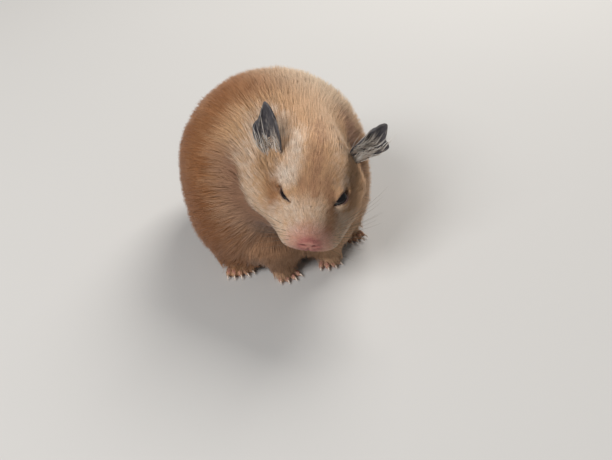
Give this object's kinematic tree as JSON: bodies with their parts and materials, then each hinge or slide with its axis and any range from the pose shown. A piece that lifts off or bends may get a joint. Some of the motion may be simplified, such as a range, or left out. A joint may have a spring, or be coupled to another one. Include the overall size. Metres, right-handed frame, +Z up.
{
  "type": "hamster model",
  "caption": "Life-size Syrian hamster with a golden coat, sitting hunched on the floor with its head lowered and turned to its right.",
  "frame": {"origin": "on the floor in the flat of the belly, midway between the hind legs", "axes": "+Z up, -Y the way the trunk faces, +X the animal's left"},
  "size_m": [0.0678, 0.092, 0.0648],
  "materials": {
    "coat": "soft golden fur",
    "bare_skin": "soft pink skin",
    "ear_skin": "thin dark grey skin",
    "eye": "wet black",
    "claw": "translucent horn"
  },
  "bodies": {
    "root": {"trunk": "coat", "neck": "coat", "head": "coat", "hind_leg_left": "coat", "hind_leg_right": "coat", "fore_leg_left": "coat", "fore_leg_right": "coat", "hind_foot_left": "bare_skin", "hind_foot_right": "bare_skin", "fore_foot_left": "bare_skin", "fore_foot_right": "bare_skin", "tail": "bare_skin", "nose": "bare_skin", "ear_left": "ear_skin", "ear_right": "ear_skin", "eye_left": "eye", "eye_right": "eye"}
  },
  "joints": []
}
